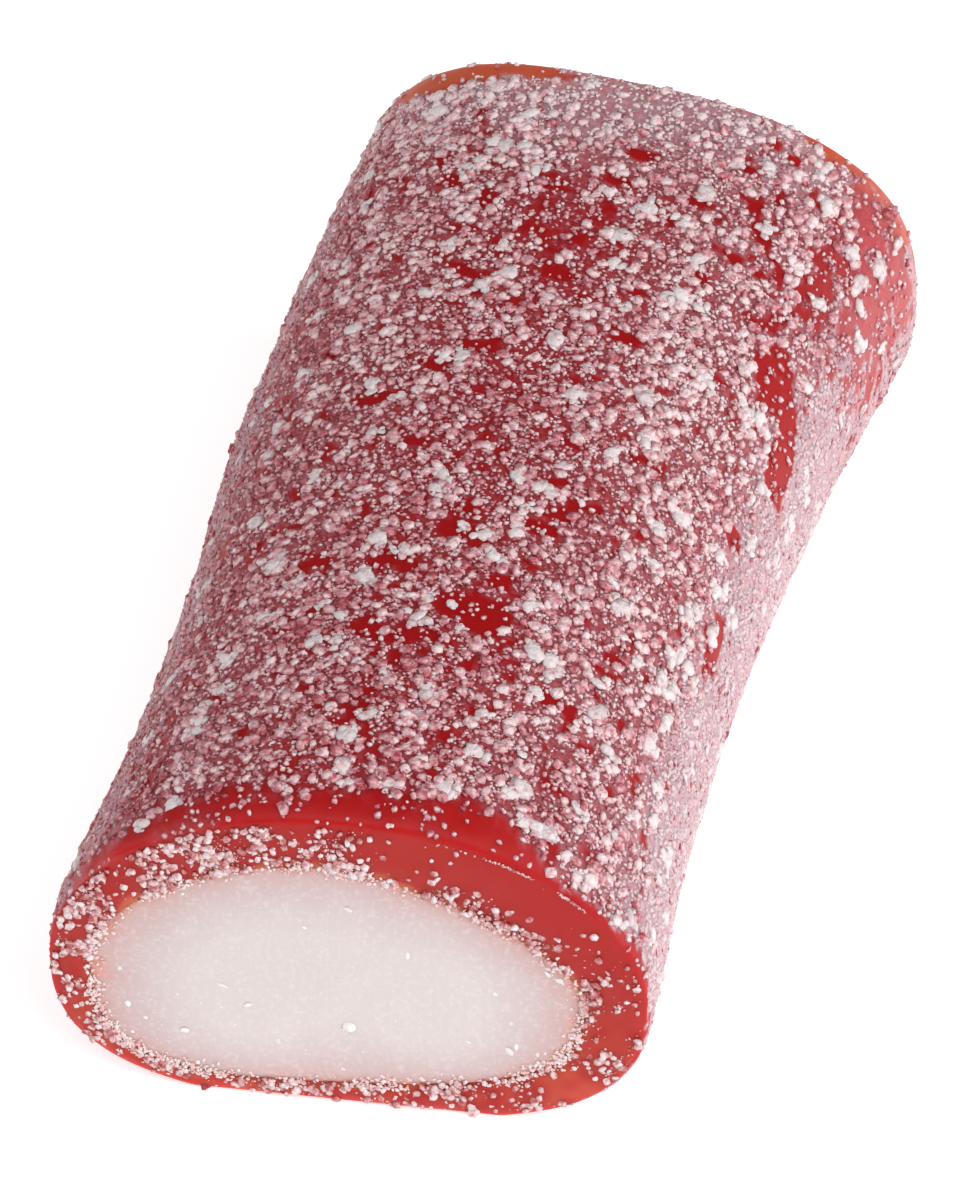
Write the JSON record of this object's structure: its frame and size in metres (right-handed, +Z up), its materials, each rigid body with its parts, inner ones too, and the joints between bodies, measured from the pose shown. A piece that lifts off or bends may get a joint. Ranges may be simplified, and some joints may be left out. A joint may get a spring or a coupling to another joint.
{
  "type": "sugared filled gummy sweet",
  "caption": "Short cut length of thick gummy rope: a soft red strawberry tube round a white fondant filling, rolled in coarse sugar and lying on its flattened side.",
  "frame": {"origin": "middle of the footprint, on the table that the sweet lies on", "axes": "+Y runs along the sweet, away from the cut end that shows best; +X is to the right of someone who faces that end; +Z is up"},
  "size_m": [0.0234, 0.042, 0.0155],
  "materials": {
    "gummy": "soft translucent red gummy with a satin skin, deeper red where it is thick and orange where it is thin",
    "fondant": "smooth matt off-white fondant, a little pink towards its edge, with pale specks of sugar",
    "sugar": "coarse clear to milky sugar crystals with bright glints"
  },
  "bodies": {
    "root": {"gummy_shell": "gummy", "fondant_core": "fondant"}
  },
  "joints": []
}
